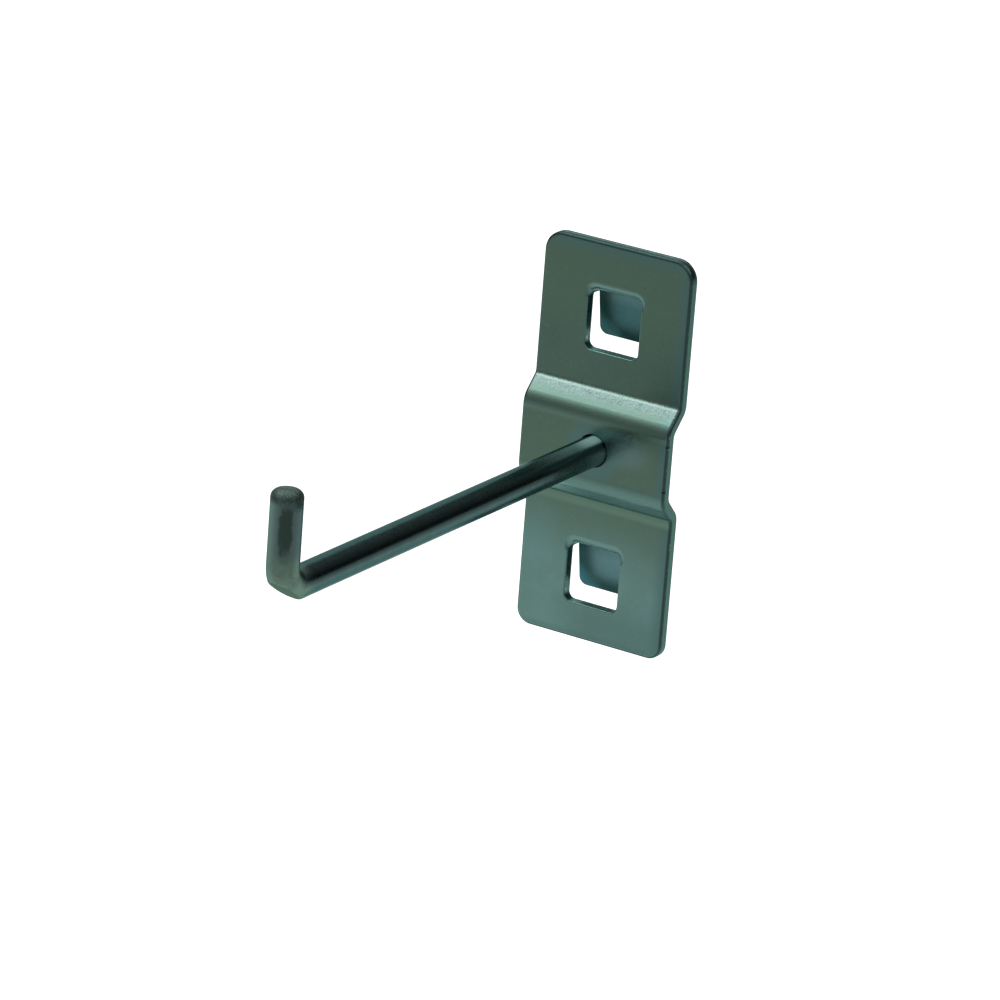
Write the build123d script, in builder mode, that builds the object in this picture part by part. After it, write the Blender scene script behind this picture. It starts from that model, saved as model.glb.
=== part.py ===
"""Tool hook for a steel tool panel with square holes: a pressed back plate and a bent wire hook.

Units are millimetres. X runs along the plate's width, +Z is up and the rod points along -Y.
The wings of the plate lie on the panel at y = 0, and the rod's axis is the line x = 0, z = 0.
"""

from build123d import *
import os
from math import cos, radians, sin, tan

# Back plate: one pressed sheet whose middle stands forward of its two wings
sheet = 1.5
plate_width = 24.4
plate_height = 59.4
top_corner_r = 3.0
bottom_corner_r = 2.3
blank_roll_r = 0.5
middle_raise = 2.8
joggle_angle = 44.0
middle_bend_r = 1.4
wing_bend_r = 0.7
joggle_mid_z = 6.65

# Windows in the wings, on the pitch of the panel's holes
tongue_pitch = 38.0
window_width = 8.8
window_drop = 5.35
window_corner_r = 1.1
window_roll_r = 0.2

# Tongues: the metal of the windows, turned straight back as a ledge and then down
ledge_rise = 3.3
ledge_corner_r = 1.2
ledge_roll_r = 1.45
ledge_root_r = 0.4
slit_gap = 0.1
tongue_reach = 1.25
tongue_lean = 10.0
tongue_bend_r = 0.9
tongue_drop = 3.92
tongue_corner_r = 1.2

# Hook rod: round wire, bent up at its front end and headed over behind the plate
rod_d = 4.5
rod_reach = 77.6
rod_bend_r = 1.0
bend_flat = 1.0
bend_flat_angle = 34.0
bend_flat_rim_r = 0.6
rod_hole_gap = 0.12
hole_roll_r = 0.12
tip_height = 14.0
tip_round_r = 1.15
head_d = 7.4
head_height = 1.5
head_rim = 0.45

# Cutters reach past the metal by this much, and selectors look this close to a place
over = 0.3
near = 0.01

# Places that follow from the sizes
half_width = plate_width / 2
half_height = plate_height / 2
middle_back_y = -middle_raise
middle_front_y = middle_back_y - sheet
slope_half_z = middle_raise / 2 / tan(radians(joggle_angle))
slope_top_z = joggle_mid_z + slope_half_z
slope_foot_z = joggle_mid_z - slope_half_z
window_centres = (tongue_pitch / 2, -tongue_pitch / 2)
half_window = window_width / 2
flat_half = half_window - ledge_corner_r
half_tongue = half_window - slit_gap
ledge_mid_rise = ledge_rise + sheet / 2
ledge_top_rise = ledge_rise + sheet
rod_r = rod_d / 2
tip_y = middle_front_y - rod_reach

# Middle line of a leaning tongue: its upper corner and its foot, from its front face
lean = radians(tongue_lean)
tongue_mid_y = tongue_reach + sheet / 2 * (cos(lean) - (1 - sin(lean)) * tan(lean))
foot_mid_drop = tongue_drop - sheet / 2 * sin(lean)
foot_mid_y = tongue_mid_y + (ledge_mid_rise + foot_mid_drop) * tan(lean)

# Opening of a window seen from the front, about its own centre
with BuildSketch() as window:
    with Locations((0, (ledge_rise - window_drop) / 2)):
        Rectangle(window_width, ledge_rise + window_drop)
    fillet(vertices().group_by(Axis.Y)[-1], radius=ledge_corner_r)
    fillet(vertices().group_by(Axis.Y)[0], radius=window_corner_r)

with BuildPart() as back_plate:
    # Side profile of the sheet: its middle line, thickened and drawn out to the width
    with BuildSketch(Plane.YZ):
        with BuildLine():
            Polyline(
                (-sheet / 2, half_height),
                (-sheet / 2, slope_top_z),
                (middle_back_y - sheet / 2, slope_foot_z),
                (middle_back_y - sheet / 2, -slope_foot_z),
                (-sheet / 2, -slope_top_z),
                (-sheet / 2, -half_height),
            )
            fillet(vertices().group_by(Axis.X)[0], radius=middle_bend_r + sheet / 2)
            fillet(vertices().group_by(Axis.X)[-1].sort_by(Axis.Y)[1:-1], radius=wing_bend_r + sheet / 2)
        trace(line_width=sheet)
    extrude(amount=half_width, both=True)

    # Outline of the blank seen from the front
    with BuildSketch(Plane.XZ):
        Rectangle(plate_width, plate_height)
        fillet(vertices().group_by(Axis.Y)[-1], radius=top_corner_r)
        fillet(vertices().group_by(Axis.Y)[0], radius=bottom_corner_r)
    extrude(amount=middle_raise + sheet + over, both=True, mode=Mode.INTERSECT)

    # Rolled edge that the blanking die leaves all round the front
    fronts = faces().filter_by(lambda face: face.normal_at().Y < -near)
    walls = faces().filter_by(lambda face: abs(face.normal_at().Y) < near)
    fillet([edge for edge in fronts.edges() if edge in walls.edges()], radius=blank_roll_r)

    # Windows, cut through both wings
    with BuildSketch(Plane.XZ):
        with Locations(*[(0, centre_z) for centre_z in window_centres]):
            add(window.sketch)
    extrude(amount=sheet + over, both=True, mode=Mode.SUBTRACT)

    # The punch leaves a rolled edge round each window too
    for centre_z in window_centres:
        rim = edges().filter_by_position(Axis.Y, -sheet - near, -sheet + near)
        rim = rim.filter_by_position(Axis.X, -half_window - near, half_window + near)
        rim = rim.filter_by_position(Axis.Z, centre_z - window_drop - near, centre_z + ledge_rise + near)
        fillet(rim, radius=window_roll_r)

    # Over a window the front rolls back into the ledge, in a wider roll along its straight top
    for centre_z in window_centres:
        with BuildSketch(Plane.YZ):
            with Locations((ledge_roll_r - sheet, centre_z + ledge_rise + ledge_roll_r)):
                Rectangle(ledge_roll_r + over, ledge_roll_r + over, align=(Align.MAX, Align.MAX))
                Circle(ledge_roll_r, mode=Mode.SUBTRACT)
        extrude(amount=flat_half, both=True, mode=Mode.SUBTRACT)

        # Round each corner the wide roll dies out into the rolled edge of the sides
        for side in (1, -1):
            for turn in (0, 22.5, 45, 67.5, 90):
                out_x = side * sin(radians(turn))
                out_z = cos(radians(turn))
                corner_x = side * flat_half + ledge_corner_r * out_x
                corner_z = centre_z + ledge_rise - ledge_corner_r + ledge_corner_r * out_z
                roll_r = ledge_roll_r + (window_roll_r - ledge_roll_r) * (turn / 90) ** 2
                section = Plane((corner_x, 0, corner_z), x_dir=(0, 1, 0), z_dir=(out_z, 0, -out_x))
                with BuildSketch(section):
                    with Locations((roll_r - sheet, roll_r)):
                        Rectangle(roll_r + over, roll_r + over, align=(Align.MAX, Align.MAX))
                        Circle(roll_r, mode=Mode.SUBTRACT)
            loft(mode=Mode.SUBTRACT)

    # Ledge and tongue: the sheet goes straight back, then down behind the panel
    for centre_z in window_centres:
        with BuildSketch(Plane.YZ):
            with BuildLine():
                FilletPolyline(
                    (-over, centre_z + ledge_mid_rise),
                    (tongue_mid_y, centre_z + ledge_mid_rise),
                    (foot_mid_y, centre_z - foot_mid_drop),
                    radius=tongue_bend_r + sheet / 2,
                )
            trace(line_width=sheet)
        extrude(amount=half_tongue, both=True)

    # Skirts: the underside of each ledge keeps the rounded corners of the punch
    with BuildSketch(Plane.XZ.offset(-tongue_reach - sheet / 2)):
        with Locations(*[(0, centre_z + ledge_rise) for centre_z in window_centres]):
            Rectangle(2 * half_tongue, 2 * ledge_corner_r)
        with Locations(*[(0, centre_z) for centre_z in window_centres]):
            add(window.sketch, mode=Mode.SUBTRACT)
    extrude(amount=tongue_reach + sheet / 2 + over)

    # Soft root where each ledge leaves the back, and rounded corners at each tongue's foot
    for centre_z in window_centres:
        root_z = centre_z + ledge_top_rise
        root = edges().filter_by_position(Axis.Y, -near, near)
        fillet(root.filter_by_position(Axis.Z, root_z - near, root_z + near), radius=ledge_root_r)
        foot_z = centre_z - foot_mid_drop
        foot = faces().filter_by_position(Axis.Z, foot_z - near, foot_z + near).sort_by(Axis.Y)[-1]
        foot_corners = foot.edges().sort_by(Axis.X)
        fillet([foot_corners[0], foot_corners[-1]], radius=tongue_corner_r)

    # Hole that the rod goes through, rolled at its mouth
    with BuildSketch(Plane.XZ):
        Circle(rod_r + rod_hole_gap)
    extrude(amount=middle_raise + sheet + over, mode=Mode.SUBTRACT)
    mouth = edges().filter_by(GeomType.CIRCLE)
    fillet(mouth.filter_by_position(Axis.Y, middle_front_y - near, middle_front_y + near), radius=hole_roll_r)

with BuildPart() as hook_rod:
    # Wire: its round section swept along its middle line
    with BuildLine(Plane.YZ):
        FilletPolyline(
            (middle_back_y, 0),
            (tip_y, 0),
            (tip_y, tip_height),
            radius=rod_bend_r + rod_r,
        )
    with BuildSketch(Plane.XZ.offset(middle_raise)):
        Circle(rod_r)
    sweep()

    # The bending die leaves a flat on the outside of the bend, with a soft rim
    flat_dir = Vector(0, -sin(radians(bend_flat_angle)), -cos(radians(bend_flat_angle)))
    bend_centre = Vector(0, tip_y + rod_bend_r + rod_r, rod_bend_r + rod_r)
    flat_reach = rod_bend_r + rod_d - bend_flat
    split(bisect_by=Plane(bend_centre + flat_dir * flat_reach, z_dir=flat_dir), keep=Keep.BOTTOM)
    die_flat = faces().sort_by(lambda face: face.normal_at().dot(flat_dir))[-1]
    fillet(die_flat.edges(), radius=bend_flat_rim_r)

    # Sheared end of the wire, rounded over so that tools slide over it
    tip_edge = edges().filter_by(GeomType.CIRCLE).sort_by(Axis.Z)[-1]
    fillet(tip_edge, radius=tip_round_r)

    # Head peened over behind the plate, in the pocket that the raised middle leaves
    with BuildSketch(Plane.XZ.offset(middle_raise)):
        Circle(head_d / 2)
    extrude(amount=-head_height)
    crown = edges().filter_by(GeomType.CIRCLE).sort_by(Axis.Y)[-1]
    fillet(crown, radius=head_height - head_rim)

os.makedirs("parts", exist_ok=True)
back_plate.part.label = "back_plate"
export_step(back_plate.part, "parts/back_plate.step")
hook_rod.part.label = "hook_rod"
export_step(hook_rod.part, "parts/hook_rod.step")
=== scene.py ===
from math import cos, pi, radians, sin

import bpy
from mathutils import Matrix, Vector


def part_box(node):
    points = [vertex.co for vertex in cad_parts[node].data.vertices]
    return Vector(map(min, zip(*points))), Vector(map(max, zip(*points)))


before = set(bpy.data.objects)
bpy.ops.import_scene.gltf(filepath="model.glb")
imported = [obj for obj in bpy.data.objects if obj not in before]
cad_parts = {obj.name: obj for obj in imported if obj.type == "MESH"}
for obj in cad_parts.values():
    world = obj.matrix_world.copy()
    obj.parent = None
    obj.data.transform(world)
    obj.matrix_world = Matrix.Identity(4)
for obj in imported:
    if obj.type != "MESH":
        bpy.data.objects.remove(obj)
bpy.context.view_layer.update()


# Back plate: one strip of steel sheet, blanked with rolled edges, pressed forward in its middle and
# lanced twice for the tongues that hook into the panel. It is zinc plated after pressing, and the
# clear passivate on the zinc leaves it grey with an olive cast above and a teal one below. Light and
# shade are also painted into many of its colours.

SHEET = 0.0015
MIDDLE_RAISE = 0.0028
SLOPE_FOOT_Z = 0.0052
SLOPE_TOP_Z = 0.0081
EDGE_BAND = 0.0026
WINDOW_Z = 0.019
WINDOW_SIDE = 0.0064
WINDOW_SIDE_END = 0.0070
OUTLINE_FROM = 0.0084
OUTLINE_FULL = 0.0088
WING_FLAT_FROM = 0.0093
WING_FLAT_FULL = 0.0099
ROLL_FROM = 0.0006
ROLL_FULL = 0.0003
NOTCH_Z = 0.00335
NOTCH_HALF = 0.00022
PLATE_CLOUDS = 130.0
PLATE_GRAIN = 3600.0
plate_low, plate_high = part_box("back_plate")
side_edge = plate_high[0]
end_edge = plate_high[2]

# Heights at which each band of finish, painted light and painted shade starts, is full, is still full and
# ends
DARKER_OLIVE_BAND = (0.0046, 0.0058, 0.0130, 0.0220)
LIGHT_PATCH_BAND = (-0.0024, 0.0016, 0.0030, 0.0042)
UPPER_BEND_BAND = (0.0034, 0.0044, 0.0050, 0.0060)
LOWER_BEND_BAND = (-0.0068, -0.0058, -0.0048, -0.0034)
UPPER_SLOPE_BAND = (0.0060, 0.0078, 0.0079, 0.0087)
LOWER_SLOPE_BAND = (-0.0082, -0.0077, -0.0067, -0.0057)
PRESS_HIGHLIGHT_BAND = (0.0079, 0.0081, 0.0084, 0.0087)
LOWER_HIGHLIGHT_BAND = (-0.0100, -0.0093, -0.0090, -0.0085)
CREASE_BAND = (-0.0087, -0.0084, -0.0083, -0.0081)
WINDOW_BAND = (0.0105, 0.0115, 0.0255, 0.0265)

# Depths under the front at which the parts of a sheared wall start and are full
END_SHEAR_DEPTH = (0.00065, 0.00090)
TORN_DEPTH = (0.00105, 0.00120)
BURR_DEPTH = (0.00110, 0.00120)

PLATE_EDGE_TINT = (0.50, 0.68, 0.66, 1)
OLIVE_ZINC = (0.101, 0.174, 0.132, 1)
DARKER_OLIVE_ZINC = (0.087, 0.154, 0.125, 1)
TEAL_ZINC = (0.150, 0.282, 0.265, 1)
PAINTED_SHADE_ZINC = (0.114, 0.214, 0.196, 1)
BLUE_ZINC = (0.085, 0.172, 0.172, 1)
SLOPE_ZINC = (0.122, 0.180, 0.170, 1)
SLOPE_SPECK = (0.046, 0.074, 0.069, 1)
SLOPE_SPARKLE = (0.215, 0.302, 0.284, 1)
SLOPE_GLINT = (0.420, 0.560, 0.530, 1)
LOWER_SLOPE_ZINC = (0.196, 0.300, 0.305, 1)
PALE_SLOPE_ZINC = (0.400, 0.540, 0.540, 1)
UPPER_BEND_ZINC = (0.122, 0.210, 0.172, 1)
LOWER_BEND_ZINC = (0.092, 0.168, 0.150, 1)
SPECK_AND_HIGHLIGHT_ZINC = (0.210, 0.305, 0.270, 1)
HIGHLIGHT_OLIVE_ZINC = (0.138, 0.238, 0.184, 1)
CREASE_SHADE_ZINC = (0.070, 0.118, 0.098, 1)
LIP_HIGHLIGHT_ZINC = (0.112, 0.205, 0.190, 1)
PAINTED_HALO_ZINC = (0.098, 0.190, 0.186, 1)
PAINTED_LIGHT_PATCH_ZINC = (0.158, 0.270, 0.262, 1)
YELLOW_PASSIVATE = (0.110, 0.172, 0.120, 1)
SIDE_SHEAR_ZINC = (0.072, 0.140, 0.118, 1)
SIDE_BURR_ZINC = (0.120, 0.180, 0.165, 1)
END_FRONT_ZINC = (0.036, 0.056, 0.052, 1)
END_SHEAR_ZINC = (0.148, 0.198, 0.182, 1)
END_TORN_ZINC = (0.030, 0.058, 0.054, 1)
END_ROLL_SHADE = (0.014, 0.023, 0.022, 1)
ROLL_SHADE = (0.034, 0.062, 0.057, 1)
PAINTED_GLINT = (0.420, 0.560, 0.520, 1)
UPPER_TONGUE_ZINC = (0.053, 0.130, 0.132, 1)
LOWER_TONGUE_ZINC = (0.091, 0.184, 0.191, 1)
TONGUE_BEND_ZINC = (0.080, 0.158, 0.163, 1)
TONGUE_CORNER_ZINC = (0.200, 0.430, 0.520, 1)
NOTCH_SHADE_ZINC = (0.020, 0.040, 0.036, 1)


def add_node(tree, kind, inputs=None, **properties):
    """A new node with its properties set, and each named input given a value or joined to a socket."""
    node = tree.nodes.new(kind)
    for name, value in properties.items():
        setattr(node, name, value)
    for key, value in (inputs or {}).items():
        if isinstance(value, bpy.types.NodeSocket):
            tree.links.new(value, node.inputs[key])
        else:
            node.inputs[key].default_value = value
    return node


def maths(tree, operation, first, second=0.0):
    """Result of one Math node."""
    return add_node(tree, "ShaderNodeMath", {0: first, 1: second}, operation=operation).outputs[0]


def measure(tree, operation, vector, other=(0, 0, 0)):
    """One number from a vector: its length, its distance from a place, or its share along a direction."""
    node = add_node(tree, "ShaderNodeVectorMath", {0: vector, 1: other}, operation=operation)
    return node.outputs["Value"]


def split(tree, vector):
    """The x, y and z parts of a vector."""
    return add_node(tree, "ShaderNodeSeparateXYZ", {0: vector}).outputs


def both(tree, *masks):
    """Product of masks and weights: the place where all of the masks are on."""
    result = masks[0]
    for mask in masks[1:]:
        result = maths(tree, "MULTIPLY", result, mask)
    return result


def ramp(tree, value, low, high, at_low=0.0, at_high=1.0):
    """Smooth step of a value between two limits."""
    sockets = {"Value": value, "From Min": low, "From Max": high, "To Min": at_low, "To Max": at_high}
    return add_node(tree, "ShaderNodeMapRange", sockets, interpolation_type="SMOOTHSTEP").outputs[0]


def between(tree, value, start, full, still_full, end):
    """Mask that is on where a value lies inside a band with soft ends."""
    return both(tree, ramp(tree, value, start, full), ramp(tree, value, end, still_full))


def blend(tree, amount, first, second):
    """Colour between two colours."""
    sockets = {0: amount, 6: first, 7: second}
    return add_node(tree, "ShaderNodeMix", sockets, data_type="RGBA").outputs[2]


def noise(tree, place, scale, detail, roughness):
    """Strength of one layer of noise."""
    sockets = {"Vector": place, "Scale": scale, "Detail": detail, "Roughness": roughness}
    return add_node(tree, "ShaderNodeTexNoise", sockets).outputs["Fac"]


def zinc_grain_group():
    """Plated zinc: slow clouds of passivate, specks, a fine satin grain and the height of its crystals."""
    group = bpy.data.node_groups.new("zinc_grain", "ShaderNodeTree")
    for name, kind in (
        ("Place", "NodeSocketVector"),
        ("Cloud Scale", "NodeSocketFloat"),
        ("Grain Scale", "NodeSocketFloat"),
    ):
        group.interface.new_socket(name=name, in_out="INPUT", socket_type=kind)
    for name in ("Clouds", "Specks", "Grain", "Height"):
        group.interface.new_socket(name=name, in_out="OUTPUT", socket_type="NodeSocketFloat")
    source = group.nodes.new("NodeGroupInput").outputs
    result = group.nodes.new("NodeGroupOutput").inputs
    place = source["Place"]
    fine = source["Grain Scale"]
    clouds = noise(group, place, source["Cloud Scale"], 4.0, 0.55)
    specks = noise(group, place, maths(group, "MULTIPLY", fine, 0.6), 2.0, 0.7)
    grain = noise(group, place, fine, 3.0, 0.6)
    crystal_sockets = {"Vector": place, "Scale": maths(group, "MULTIPLY", fine, 0.45), "Randomness": 1.0}
    crystals = add_node(group, "ShaderNodeTexVoronoi", crystal_sockets, feature="F1")
    shade = add_node(group, "ShaderNodeSeparateColor", {0: crystals.outputs["Color"]}).outputs[0]
    group.links.new(ramp(group, clouds, 0.36, 0.64), result["Clouds"])
    group.links.new(ramp(group, specks, 0.55, 0.68), result["Specks"])
    group.links.new(ramp(group, grain, 0.3, 0.7), result["Grain"])
    group.links.new(maths(group, "ADD", maths(group, "MULTIPLY", shade, 0.5), grain), result["Height"])
    return group


zinc_grain = zinc_grain_group()


def grain_at(tree, place, cloud_scale, grain_scale):
    """Outputs of the zinc grain, placed in a material with its own scales."""
    sockets = {"Place": place, "Cloud Scale": cloud_scale, "Grain Scale": grain_scale}
    return add_node(tree, "ShaderNodeGroup", sockets, node_tree=zinc_grain).outputs


def new_material(name, edge_tint):
    """Empty metal material with a Principled shader on its output."""
    material = bpy.data.materials.new(name)
    material.use_nodes = True
    tree = material.node_tree
    tree.nodes.clear()
    output = tree.nodes.new("ShaderNodeOutputMaterial")
    shader = tree.nodes.new("ShaderNodeBsdfPrincipled")
    tree.links.new(shader.outputs["BSDF"], output.inputs["Surface"])
    shader.inputs["Metallic"].default_value = 1.0
    shader.inputs["Specular Tint"].default_value = edge_tint
    return material, tree, shader


def plated_sheet_material():
    """Zinc on pressed sheet, with its sheared edges, its bright slopes, the tongues in painted shade and
    other painted light.
    """
    material, tree, shader = new_material("plated_sheet", PLATE_EDGE_TINT)
    coords = tree.nodes.new("ShaderNodeTexCoord")
    place = coords.outputs["Object"]
    x, y, z = split(tree, place)
    facing = split(tree, coords.outputs["Normal"])[1]
    turned = maths(tree, "ABSOLUTE", facing)
    wide = maths(tree, "ABSOLUTE", x)
    high = maths(tree, "ABSOLUTE", z)
    upper = ramp(tree, z, -0.002, 0.002)
    grain = grain_at(tree, place, PLATE_CLOUDS, PLATE_GRAIN)

    # Passivate: olive above, teal low down and to the left, with faint yellow clouds. The lighter teal
    # low down is partly the passivate's tint and partly painted light. A darker olive band lies above
    # the middle.
    along = maths(tree, "ADD", z, maths(tree, "MULTIPLY", x, 0.14))
    colour = blend(tree, ramp(tree, along, -0.006, -0.022), OLIVE_ZINC, TEAL_ZINC)
    colour = blend(tree, between(tree, z, *DARKER_OLIVE_BAND), colour, DARKER_OLIVE_ZINC)
    # Painted shade low down towards the right
    painted_shade_low_right = both(tree, ramp(tree, z, -0.020, -0.027), ramp(tree, x, -0.009, 0.001))
    colour = blend(tree, painted_shade_low_right, colour, PAINTED_SHADE_ZINC)
    colour = blend(tree, both(tree, grain["Clouds"], 0.25), colour, YELLOW_PASSIVATE)
    colour = blend(tree, both(tree, grain["Specks"], 0.12), colour, SPECK_AND_HIGHLIGHT_ZINC)

    # Painted light round the hole: a lighter, bluer ring, and a pale patch beside it to the right
    on_front = add_node(tree, "ShaderNodeCombineXYZ", {"X": x, "Z": z}).outputs[0]
    hole_distance = measure(tree, "LENGTH", on_front)
    painted_light_ring = ramp(tree, hole_distance, 0.0052, 0.0032)
    colour = blend(tree, both(tree, painted_light_ring, 0.8), colour, PAINTED_HALO_ZINC)
    painted_light_beside_hole = both(tree, ramp(tree, hole_distance, 0.0110, 0.0050), ramp(tree, x, 0.0008, 0.0040),
                       between(tree, z, *LIGHT_PATCH_BAND))
    colour = blend(tree, painted_light_beside_hole, colour, PAINTED_LIGHT_PATCH_ZINC)

    # Thicker, bluer zinc in a band along the right edge, the top and the bottom
    beside = ramp(tree, x, side_edge - EDGE_BAND, side_edge - ROLL_FULL)
    above = ramp(tree, z, end_edge - EDGE_BAND, end_edge - ROLL_FULL)
    below = ramp(tree, z, plate_low[2] + 0.6 * EDGE_BAND, plate_low[2])
    band = maths(tree, "MAXIMUM", maths(tree, "MAXIMUM", beside, above), below)
    colour = blend(tree, both(tree, band, 0.75), colour, BLUE_ZINC)

    # Painted light and shade at the bends at the two ends of the middle: a lighter tone above and a
    # darker one below
    colour = blend(tree, between(tree, z, *UPPER_BEND_BAND), colour, UPPER_BEND_ZINC)
    colour = blend(tree, between(tree, z, *LOWER_BEND_BAND), colour, LOWER_BEND_ZINC)

    # Slopes: the press stretches the zinc on the upper one into small bright crystals with dull specks,
    # and painted glints sit at its right end. The lower one is smoother and painted lighter as painted
    # light, palest to the left.
    on_slope = maths(tree, "MAXIMUM", between(tree, z, *UPPER_SLOPE_BAND),
                     between(tree, z, *LOWER_SLOPE_BAND))
    dim_grain = maths(tree, "ADD", maths(tree, "SUBTRACT", 1.0, grain["Grain"]), grain["Specks"])
    speckled = ramp(tree, dim_grain, 0.55, 1.25)
    slope_colour = blend(tree, both(tree, speckled, 0.7), SLOPE_ZINC, SLOPE_SPECK)
    sparkle = ramp(tree, grain["Grain"], 0.55, 0.95)
    slope_colour = blend(tree, both(tree, sparkle, 0.6), slope_colour, SLOPE_SPARKLE)
    lower_colour = blend(tree, ramp(tree, x, -0.001, -0.009), LOWER_SLOPE_ZINC, PALE_SLOPE_ZINC)
    slope_colour = blend(tree, upper, lower_colour, slope_colour)
    at_right = ramp(tree, x, side_edge - 0.0014, side_edge - 0.0006)
    slope_colour = blend(tree, both(tree, at_right, upper, grain["Specks"]), slope_colour, SLOPE_GLINT)
    colour = blend(tree, on_slope, colour, slope_colour)

    # A broken painted highlight runs along the top of the upper slope, partly a line that the press
    # rubbed bright, and a soft wide painted highlight runs under the lower slope, with painted shade in
    # the crease between it and the slope
    broken = ramp(tree, grain["Grain"], 0.0, 1.0, 0.3, 0.9)
    press_highlight = both(tree, upper, between(tree, z, *PRESS_HIGHLIGHT_BAND), broken)
    colour = blend(tree, press_highlight, colour, SPECK_AND_HIGHLIGHT_ZINC)
    colour = blend(tree, between(tree, z, *LOWER_HIGHLIGHT_BAND), colour, HIGHLIGHT_OLIVE_ZINC)
    colour = blend(tree, between(tree, z, *CREASE_BAND), colour, CREASE_SHADE_ZINC)

    # A bluer painted highlight in the roll round each window, where the ledge turns back
    window_wide = ramp(tree, wide, WINDOW_SIDE_END, WINDOW_SIDE)
    lip_highlight = both(tree, window_wide, between(tree, high, *WINDOW_BAND), ramp(tree, turned, 0.998, 0.97))
    colour = blend(tree, lip_highlight, colour, LIP_HIGHLIGHT_ZINC)

    # Tongues: their fronts, set back behind the windows, are painted darker and bluer as painted shade,
    # the upper one darker, with a lighter painted tone where they bend down and palest toward the lower
    # left corner as painted light
    tongue_colour = blend(tree, upper, LOWER_TONGUE_ZINC, UPPER_TONGUE_ZINC)
    window_centre = maths(tree, "MULTIPLY", maths(tree, "SIGN", z), WINDOW_Z)
    window_height = maths(tree, "SUBTRACT", z, window_centre)
    in_bend = ramp(tree, window_height, 0.0008, 0.0024)
    tongue_colour = blend(tree, in_bend, tongue_colour, TONGUE_BEND_ZINC)
    toward_corner = maths(tree, "ADD", window_height, maths(tree, "MULTIPLY", x, 0.8))
    in_corner = ramp(tree, toward_corner, -0.0030, -0.0060)
    tongue_colour = blend(tree, in_corner, tongue_colour, TONGUE_CORNER_ZINC)
    on_tongue = both(tree, ramp(tree, y, -0.0006, 0.0004), ramp(tree, facing, -0.2, -0.5))
    colour = blend(tree, on_tongue, colour, tongue_colour)

    # Rolled edges: painted shade, darkest across the ends, with patches of painted glints
    at_side = ramp(tree, wide, side_edge - ROLL_FROM, side_edge - ROLL_FULL)
    at_end = ramp(tree, high, end_edge - ROLL_FROM, end_edge - ROLL_FULL)
    off_slopes = maths(tree, "MAXIMUM", ramp(tree, high, WING_FLAT_FROM, WING_FLAT_FULL), at_side)
    outline = maths(tree, "MAXIMUM", ramp(tree, wide, OUTLINE_FROM, OUTLINE_FULL),
                    ramp(tree, high, end_edge - 0.0034, end_edge - 0.0030))
    rolled = both(tree, ramp(tree, turned, 0.99, 0.90), off_slopes, outline,
                  ramp(tree, y, -0.0004, -0.0007))
    patches = ramp(tree, grain["Clouds"], 0.40, 0.90, 0.10, 0.75)
    glints = both(tree, grain["Specks"], patches, between(tree, turned, 0.10, 0.25, 0.48, 0.62))
    roll_colour = blend(tree, at_end, blend(tree, glints, ROLL_SHADE, PAINTED_GLINT), END_ROLL_SHADE)
    colour = blend(tree, both(tree, rolled, 0.85), colour, roll_colour)

    # Sheared walls: dark along the sides with a lighter burr at the back, and across the ends a
    # bright band under the roll with the torn metal behind it
    raised = ramp(tree, high, SLOPE_FOOT_Z, SLOPE_TOP_Z, MIDDLE_RAISE, 0.0)
    depth = maths(tree, "ADD", maths(tree, "ADD", y, raised), SHEET)
    wall = both(tree, ramp(tree, turned, 0.40, 0.15), ramp(tree, y, 0.00005, -0.00005))
    torn = ramp(tree, depth, *TORN_DEPTH)
    side_colour = blend(tree, ramp(tree, depth, *BURR_DEPTH), SIDE_SHEAR_ZINC, SIDE_BURR_ZINC)
    # Painted glints on the side walls of the windows
    window_glints = both(tree, grain["Specks"], window_wide, 0.5)
    side_colour = blend(tree, window_glints, side_colour, PAINTED_GLINT)
    # Painted glints along the bright band across the ends
    end_colour = blend(tree, grain["Specks"], END_SHEAR_ZINC, PAINTED_GLINT)
    end_colour = blend(tree, ramp(tree, depth, *END_SHEAR_DEPTH), END_FRONT_ZINC, end_colour)
    end_colour = blend(tree, torn, end_colour, END_TORN_ZINC)
    colour = blend(tree, wall, colour, blend(tree, at_end, side_colour, end_colour))

    # Painted shade for two small dents in the right edge of the middle
    notch_distance = maths(tree, "ABSOLUTE", maths(tree, "SUBTRACT", high, NOTCH_Z))
    notch_shade = both(tree, ramp(tree, notch_distance, NOTCH_HALF, 0.6 * NOTCH_HALF),
                 ramp(tree, x, side_edge - 0.0005, side_edge - ROLL_FULL),
                 ramp(tree, depth, 0.0007, 0.0004))
    colour = blend(tree, notch_shade, colour, NOTCH_SHADE_ZINC)
    tree.links.new(colour, shader.inputs["Base Color"])

    rough = ramp(tree, grain["Grain"], 0.0, 1.0, 0.29, 0.38)
    rough = maths(tree, "ADD", rough, both(tree, wall, torn, 0.15))
    tree.links.new(rough, shader.inputs["Roughness"])
    bump_height = maths(tree, "MULTIPLY", grain["Height"], ramp(tree, on_slope, 0.0, 1.0, 1.0, 2.0))
    bump = add_node(tree, "ShaderNodeBump", {"Height": bump_height, "Strength": 0.30, "Distance": 0.00002})
    tree.links.new(bump.outputs["Normal"], shader.inputs["Normal"])
    return material


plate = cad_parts["back_plate"]
plate.data.materials.clear()
plate.data.materials.append(plated_sheet_material())


# Hook rod: drawn steel wire, bent up at its front end, sheared and rounded there, and headed over
# behind the plate. It carries the same zinc, smoother and darker than on the sheet, and the jaws of
# the bender have marked it. Light and shade are also painted on it.

BENT_Y = -0.0765
BENT_FULL_Y = -0.0795
WIRE_CLOUDS = 700.0
WIRE_GRAIN = 4200.0
RIGHT_PATCH_FROM = -0.0413
rod_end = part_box("hook_rod")[1][2]

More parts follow.
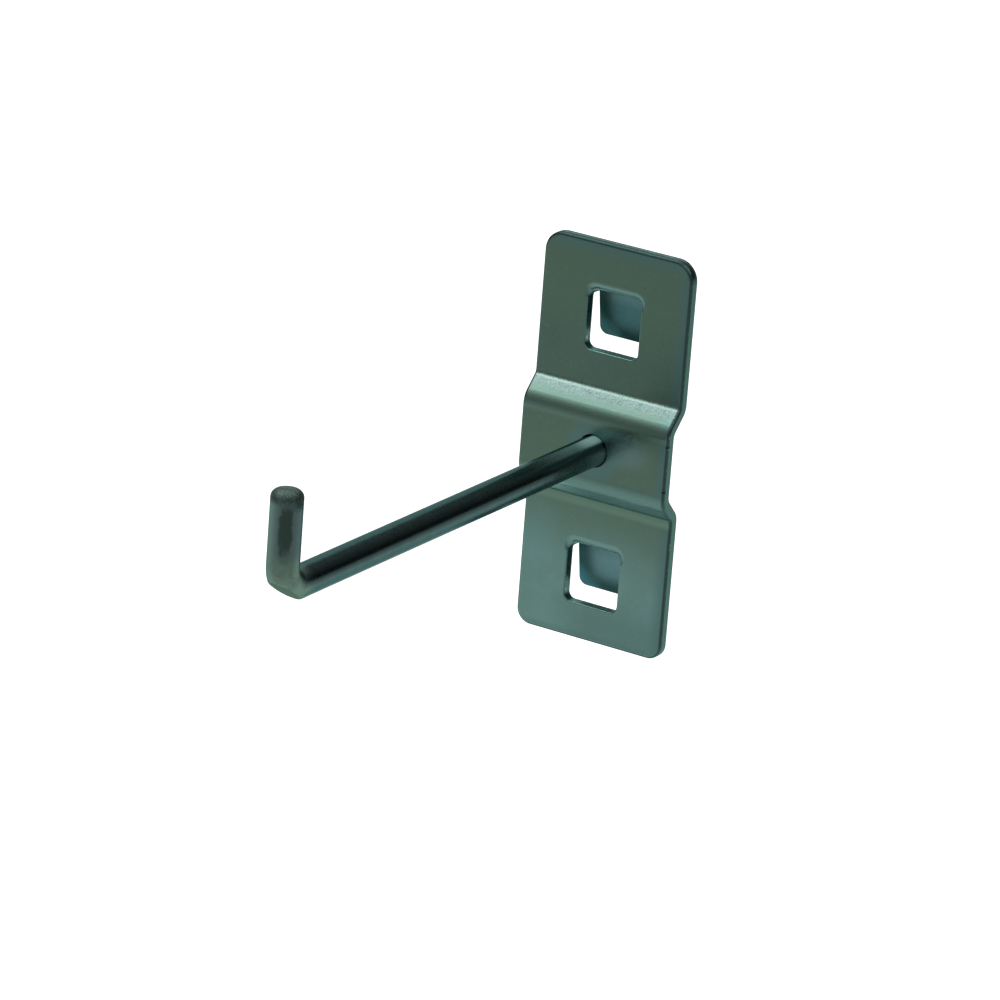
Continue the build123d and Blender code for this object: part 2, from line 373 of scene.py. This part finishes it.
# Directions that the marked sides of the wire face, and the sides with painted light and shade
TOP_SIDE = (0.30, 0.0, 0.954)
LOW_SIDE = (0.60, 0.0, -0.80)
PRESSED_SIDE = (0, -0.56, -0.83)
STREAK_SIDE = (0.58, -0.81, 0.0)
RIGHT_PATCH_SIDE = (0.857, 0.515, 0.0)

WIRE_EDGE_TINT = (0.38, 0.48, 0.47, 1)
WIRE_ZINC = (0.080, 0.126, 0.124, 1)
WIRE_DARK = (0.062, 0.100, 0.098, 1)
WIRE_HIGHLIGHT = (0.260, 0.440, 0.420, 1)
WIRE_OLIVE = (0.138, 0.214, 0.168, 1)
WIRE_GREY = (0.092, 0.146, 0.142, 1)
WIRE_LEFT_HIGHLIGHT = (0.140, 0.215, 0.192, 1)
WIRE_MOTTLE_AND_SHADE = (0.026, 0.046, 0.034, 1)
WIRE_PRESSED = (0.125, 0.196, 0.150, 1)
WIRE_SHEARED = (0.058, 0.088, 0.082, 1)
WIRE_RUBBED = (0.170, 0.250, 0.230, 1)


def plated_wire_material():
    """Zinc on drawn wire: a satin grain, mottling where the bender and the shear marked it, and painted
    light and shade.
    """
    material, tree, shader = new_material("plated_wire", WIRE_EDGE_TINT)
    coords = tree.nodes.new("ShaderNodeTexCoord")
    place = coords.outputs["Object"]
    normal = coords.outputs["Normal"]
    y, z = split(tree, place)[1:]
    grain = grain_at(tree, place, WIRE_CLOUDS, WIRE_GRAIN)
    colour = blend(tree, both(tree, grain["Clouds"], 0.4), WIRE_ZINC, WIRE_DARK)

    # Next to the plate the wire is rougher and less metallic, and painted lighter on its top and lower
    # side as a painted highlight
    top_side = ramp(tree, measure(tree, "DOT_PRODUCT", normal, TOP_SIDE), 0.86, 0.985)
    low_side = ramp(tree, measure(tree, "DOT_PRODUCT", normal, LOW_SIDE), 0.0, 0.5, 0.0, 0.45)
    near_plate = maths(tree, "ADD", ramp(tree, y, -0.0260, -0.0100, 0.0, 0.4),
                       ramp(tree, y, -0.0110, -0.0055, 0.0, 0.6))
    highlight_near_plate = both(tree, near_plate, maths(tree, "MAXIMUM", top_side, low_side))
    colour = blend(tree, highlight_near_plate, colour, WIRE_HIGHLIGHT)

    # The upright is grey, with a painted highlight on its left side. The bend is mottled olive, its
    # pressed flat is dull.
    bent = ramp(tree, y, BENT_Y, BENT_FULL_Y)
    left_highlight = ramp(tree, split(tree, normal)[0], 0.30, -0.35)
    colour = blend(tree, bent, colour, blend(tree, left_highlight, WIRE_GREY, WIRE_LEFT_HIGHLIGHT))
    in_bend = both(tree, bent, ramp(tree, z, 0.0060, 0.0036))
    streaks = ramp(tree, grain["Clouds"], 0.0, 1.0, 0.30, 1.0)
    colour = blend(tree, both(tree, in_bend, streaks), colour, WIRE_OLIVE)
    pressed_side = measure(tree, "DOT_PRODUCT", normal, PRESSED_SIDE)
    pressed = both(tree, bent, ramp(tree, pressed_side, 0.93, 0.99))
    colour = blend(tree, pressed, colour, WIRE_PRESSED)

    # A ragged dark streak down the front of the upright is a painted reflection
    streak_side = measure(tree, "DOT_PRODUCT", normal, STREAK_SIDE)
    ragged = maths(tree, "MULTIPLY", maths(tree, "SUBTRACT", grain["Clouds"], 0.5), 0.05)
    tapered = maths(tree, "ADD", ragged, ramp(tree, z, 0.0040, 0.0080, -0.07, 0.0))
    dark_streak = both(tree, ramp(tree, maths(tree, "ADD", streak_side, tapered), 0.88, 0.97), bent,
               between(tree, z, 0.0040, 0.0062, rod_end - 0.0026, rod_end - 0.0012))
    colour = blend(tree, both(tree, dark_streak, 0.78), colour, WIRE_MOTTLE_AND_SHADE)

    # Its sheared end is rougher and mottled, and painted darker as painted shade, darker still at the
    # right, with a few rubbed specks there and on the bend
    sheared = both(tree, bent, ramp(tree, z, rod_end - 0.0020, rod_end - 0.0010))
    mottled = blend(tree, both(tree, grain["Clouds"], 0.6), WIRE_SHEARED, WIRE_MOTTLE_AND_SHADE)
    colour = blend(tree, sheared, colour, mottled)
    toward_right = measure(tree, "DOT_PRODUCT", place, RIGHT_PATCH_SIDE)
    dark_right_patch = both(tree, bent, ramp(tree, toward_right, RIGHT_PATCH_FROM, RIGHT_PATCH_FROM + 0.0006),
                   ramp(tree, z, rod_end - 0.0030, rod_end - 0.0016))
    colour = blend(tree, both(tree, dark_right_patch, 0.9), colour, WIRE_MOTTLE_AND_SHADE)
    near_end = ramp(tree, z, rod_end - 0.0034, rod_end - 0.0018)
    rubbed = both(tree, bent, maths(tree, "MAXIMUM", near_end, in_bend), grain["Specks"], 0.5)
    colour = blend(tree, rubbed, colour, WIRE_RUBBED)
    tree.links.new(colour, shader.inputs["Base Color"])

    less_metallic = maths(tree, "MAXIMUM", highlight_near_plate, both(tree, sheared, 0.7))
    tree.links.new(ramp(tree, less_metallic, 0.0, 1.0, 1.0, 0.35), shader.inputs["Metallic"])
    rough = ramp(tree, grain["Grain"], 0.0, 1.0, 0.19, 0.26)
    for mask, rougher in ((bent, 0.14), (highlight_near_plate, 0.24), (pressed, 0.30), (sheared, 0.22)):
        rough = maths(tree, "ADD", rough, both(tree, mask, rougher))
    tree.links.new(rough, shader.inputs["Roughness"])
    bump_height = maths(tree, "MULTIPLY", grain["Height"], ramp(tree, bent, 0.0, 1.0, 1.0, 2.5))
    bump = add_node(tree, "ShaderNodeBump", {"Height": bump_height, "Strength": 0.2, "Distance": 0.00001})
    tree.links.new(bump.outputs["Normal"], shader.inputs["Normal"])
    return material


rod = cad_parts["hook_rod"]
rod.data.materials.clear()
rod.data.materials.append(plated_wire_material())


# Studio: a plain pale floor that is white where the camera looks and greyer round about, a soft
# ceiling, one lamp overhead, one behind, a glow at the side and the camera at the photo's angle.

FLOOR_Z = -0.12
FLOOR_HALF = 7.0
FLOOR_WHITE = 0.45
WHITE_POOL = (-0.208, 0.343, 0.0)
POOL_RADIUS = 0.37
POOL_END = 0.68
POOL_GLOW = 0.78
FAR_GLOW = 0.08


def floor_material():
    """Matt white that shows as white to the camera and in the metal, and still takes a shadow."""
    material = bpy.data.materials.new("pale_floor")
    material.use_nodes = True
    tree = material.node_tree
    tree.nodes.clear()
    output = tree.nodes.new("ShaderNodeOutputMaterial")
    matt = add_node(tree, "ShaderNodeBsdfDiffuse", {"Color": (FLOOR_WHITE, FLOOR_WHITE, FLOOR_WHITE, 1)})
    coords = tree.nodes.new("ShaderNodeTexCoord")
    # Painted pool of light: the floor glows bright round WHITE_POOL and dim further out, to the camera and
    # in the metal
    distance = measure(tree, "DISTANCE", coords.outputs["Object"], WHITE_POOL)
    fade = ramp(tree, distance, POOL_RADIUS, POOL_END, POOL_GLOW, FAR_GLOW)
    path = tree.nodes.new("ShaderNodeLightPath")
    seen = maths(tree, "MAXIMUM", path.outputs["Is Camera Ray"], path.outputs["Is Glossy Ray"])
    seen = maths(tree, "MAXIMUM", seen, path.outputs["Is Transmission Ray"])
    glow = add_node(tree, "ShaderNodeEmission", {"Strength": maths(tree, "MULTIPLY", seen, fade)})
    total = add_node(tree, "ShaderNodeAddShader", {0: matt.outputs[0], 1: glow.outputs[0]})
    tree.links.new(total.outputs[0], output.inputs["Surface"])
    return material


floor_mesh = bpy.data.meshes.new("floor")
floor_mesh.from_pydata(
    [(-FLOOR_HALF, -FLOOR_HALF, 0), (FLOOR_HALF, -FLOOR_HALF, 0),
     (FLOOR_HALF, FLOOR_HALF, 0), (-FLOOR_HALF, FLOOR_HALF, 0)],
    [], [(0, 1, 2, 3)])
floor_mesh.materials.append(floor_material())
floor = bpy.data.objects.new("floor", floor_mesh)
floor.location = (0, 0, FLOOR_Z)
bpy.context.scene.collection.objects.link(floor)


def soft_lamp(name, direction, distance, size, radiance):
    """Square area lamp that faces the object; its power follows from how bright its face is."""
    lamp = bpy.data.lights.new(name, "AREA")
    lamp.shape = "SQUARE"
    lamp.size = size
    lamp.energy = radiance * pi * size * size
    lamp_object = bpy.data.objects.new(name, lamp)
    away = Vector(direction).normalized()
    lamp_object.location = away * distance
    lamp_object.rotation_mode = "QUATERNION"
    lamp_object.rotation_quaternion = away.to_track_quat("Z", "Y")
    bpy.context.scene.collection.objects.link(lamp_object)


soft_lamp("overhead_lamp", direction=(-0.487, -0.152, 0.860), distance=1.0, size=0.60, radiance=3.0)
soft_lamp("back_lamp", direction=(-0.35, 0.42, 0.84), distance=1.0, size=0.50, radiance=2.0)

# Surroundings: how bright they are low down, behind the object, overhead and at the side
GROUND_GLOW = 0.28
WALL_GLOW = 0.02
BACK_WALL_GLOW = 0.11
CEILING_START_GLOW = 0.35
CEILING_GLOW = 1.7
SIDE_GLOW = 1.35
SIDE_DIRECTION = (-0.52, 0.81, 0.27)

world = bpy.data.worlds.new("studio")
world.use_nodes = True
bpy.context.scene.world = world
sky = world.node_tree
sky.nodes.clear()
sky_output = sky.nodes.new("ShaderNodeOutputWorld")
direction = sky.nodes.new("ShaderNodeTexCoord").outputs["Generated"]
forward, height = split(sky, direction)[1:]
horizon = ramp(sky, height, -0.02, 0.05, GROUND_GLOW, WALL_GLOW)
behind = ramp(sky, height, 0.20, 0.50, WALL_GLOW, BACK_WALL_GLOW)
ceiling = ramp(sky, height, 0.25, 0.95, CEILING_START_GLOW, CEILING_GLOW)
in_front = maths(sky, "SUBTRACT", maths(sky, "MULTIPLY", height, 0.9), maths(sky, "MULTIPLY", forward, 0.6))
ceiling = both(sky, ceiling, ramp(sky, in_front, 0.02, 0.42))
side = measure(sky, "DOT_PRODUCT", direction, SIDE_DIRECTION)
side_glow = ramp(sky, side, 0.90, 1.00, 0.0, SIDE_GLOW)
dim = maths(sky, "MAXIMUM", horizon, behind)
light = maths(sky, "ADD", maths(sky, "MAXIMUM", dim, ceiling), side_glow)
background = add_node(sky, "ShaderNodeBackground", {"Strength": light})
sky.links.new(background.outputs[0], sky_output.inputs["Surface"])

# Camera: fitted to the straight edges of the plate and the rod
CAMERA_AZIMUTH = radians(31.1858)
CAMERA_ELEVATION = radians(19.2122)
CAMERA_ROLL = radians(4.4152)
CAMERA_DISTANCE = 0.8530546
CAMERA_SIDE = -0.0153828
CAMERA_LIFT = -0.0079935
LENS_MM = 216
SENSOR_MM = 36

back = Vector((sin(CAMERA_AZIMUTH) * cos(CAMERA_ELEVATION),
               -cos(CAMERA_AZIMUTH) * cos(CAMERA_ELEVATION),
               sin(CAMERA_ELEVATION)))
level = Vector((cos(CAMERA_AZIMUTH), sin(CAMERA_AZIMUTH), 0))
upright = back.cross(level)
right = cos(CAMERA_ROLL) * level + sin(CAMERA_ROLL) * upright
up = -sin(CAMERA_ROLL) * level + cos(CAMERA_ROLL) * upright
camera_data = bpy.data.cameras.new("camera")
camera_data.lens = LENS_MM
camera_data.sensor_width = SENSOR_MM
camera_data.clip_start = 0.05
camera_data.clip_end = 30
camera = bpy.data.objects.new("camera", camera_data)
eye = back * CAMERA_DISTANCE + right * CAMERA_SIDE + up * CAMERA_LIFT
camera.matrix_world = Matrix((
    (right.x, up.x, back.x, eye.x),
    (right.y, up.y, back.y, eye.y),
    (right.z, up.z, back.z, eye.z),
    (0, 0, 0, 1),
))
bpy.context.scene.collection.objects.link(camera)
bpy.context.scene.camera = camera
bpy.context.scene.view_settings.view_transform = "Standard"
